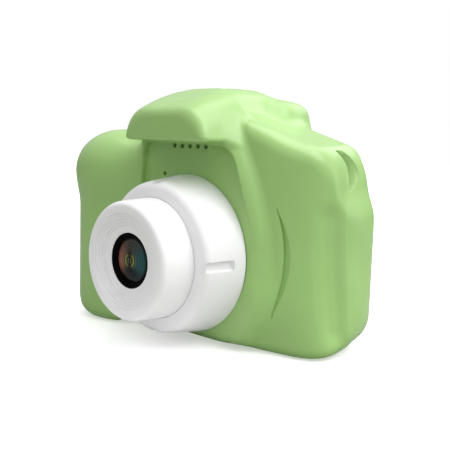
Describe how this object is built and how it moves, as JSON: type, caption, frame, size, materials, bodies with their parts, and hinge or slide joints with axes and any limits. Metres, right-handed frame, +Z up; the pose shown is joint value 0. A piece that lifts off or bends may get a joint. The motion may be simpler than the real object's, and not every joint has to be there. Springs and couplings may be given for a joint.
{
  "type": "kids digital camera",
  "caption": "Rounded child's compact digital camera with a fixed stepped lens barrel, a brow over the lens, a hand grip, top buttons, rear keys and a colour display.",
  "frame": {"origin": "on the flat underside, straight below the lens axis and 14 mm behind the lens seat", "axes": "+Z up, the lens looks along -Y, the hand grip is towards -X, +X is the side with the strap slot"},
  "size_m": [0.0814, 0.0531, 0.0639],
  "materials": {
    "case_green": "satin moulded ABS, very fine grain",
    "barrel_white": "satin white moulded ABS",
    "trim_black": "smooth black",
    "lens_glass": "polished, anti-reflection coated",
    "screen_glass": "polished, black printed border",
    "key_white": "satin",
    "cover_rubber": "matte soft rubber",
    "board_green": "solder mask",
    "chip_black": "moulded resin",
    "shield_steel": "tinned",
    "cell_silver": "foil pouch",
    "foam_black": "open foam",
    "flex_amber": "polyimide film",
    "wire_red": "insulation",
    "wire_black": "insulation",
    "screw_steel": "zinc plated"
  },
  "bodies": {
    "case": {"barrel_screw_1": "screw_steel", "barrel_screw_2": "screw_steel", "barrel_screw_3": "screw_steel", "battery": "cell_silver", "battery_lead_negative": "wire_black", "battery_lead_positive": "wire_red", "battery_pad": "foam_black", "board_screw_1": "screw_steel", "board_screw_2": "screw_steel", "camera_flex": "flex_amber", "camera_module": "trim_black", "camera_module_lens": "trim_black", "camera_sensor_board": "board_green", "card_slot": "shield_steel", "case_screw_1": "screw_steel", "case_screw_2": "screw_steel", "case_screw_3": "screw_steel", "case_screw_4": "screw_steel", "display_flex": "flex_amber", "display_frame": "trim_black", "display_module": "screen_glass", "front_shell": "case_green", "key_switch_down": "chip_black", "key_switch_left": "chip_black", "key_switch_ok": "chip_black", "key_switch_right": "chip_black", "key_switch_up": "chip_black", "lens_bezel_ring": "trim_black", "lens_glass": "lens_glass", "lens_inner_barrel": "barrel_white", "lens_outer_barrel": "barrel_white", "lens_retainer": "trim_black", "main_board": "board_green", "memory_chip": "chip_black", "microphone": "shield_steel", "microphone_boot": "foam_black", "power_switch": "chip_black", "processor_chip": "chip_black", "rear_shell": "case_green", "reset_switch": "trim_black", "screen_window": "screen_glass", "shutter_switch": "chip_black", "speaker": "trim_black", "speaker_gasket": "foam_black", "speaker_lead_a": "wire_red", "speaker_lead_b": "wire_black", "top_button_board": "board_green", "usb_port": "shield_steel"},
    "shutter": {"shutter_button": "key_white", "shutter_switch_plunger": "chip_black"},
    "power": {"power_button": "key_white", "power_switch_plunger": "chip_black"},
    "cover": {"port_cover": "cover_rubber"},
    "card": {"memory_card": "chip_black"},
    "button_up": {"key_up": "key_white"},
    "button_down": {"key_down": "key_white"},
    "button_left": {"key_left": "key_white"},
    "button_right": {"key_right": "key_white"},
    "button_ok": {"key_ok": "key_white"}
  },
  "joints": [
    {"name": "shutter_press", "type": "slide", "parent": "case", "child": "shutter", "axis": [0, -0.1392, -0.9903], "range_m": [0, 0.0008]},
    {"name": "power_press", "type": "slide", "parent": "case", "child": "power", "axis": [0, -0.1392, -0.9903], "range_m": [0, 0.0008]},
    {"name": "key_up_press", "type": "slide", "parent": "case", "child": "button_up", "axis": [0, -1, 0], "range_m": [0, 0.0005]},
    {"name": "key_down_press", "type": "slide", "parent": "case", "child": "button_down", "axis": [0, -1, 0], "range_m": [0, 0.0005]},
    {"name": "key_left_press", "type": "slide", "parent": "case", "child": "button_left", "axis": [0, -1, 0], "range_m": [0, 0.0005]},
    {"name": "key_right_press", "type": "slide", "parent": "case", "child": "button_right", "axis": [0, -1, 0], "range_m": [0, 0.0005]},
    {"name": "key_ok_press", "type": "slide", "parent": "case", "child": "button_ok", "axis": [0, -1, 0], "range_m": [0, 0.0005]},
    {"name": "port_cover_hinge", "type": "hinge", "parent": "case", "child": "cover", "pos_m": [0.0085, 0.00425, 0.00072], "axis": [-1, 0, 0], "range_deg": [0, 105]},
    {"name": "card_click", "type": "slide", "parent": "case", "child": "card", "axis": [0, 0, 1], "range_m": [0, 0.0007]}
  ]
}
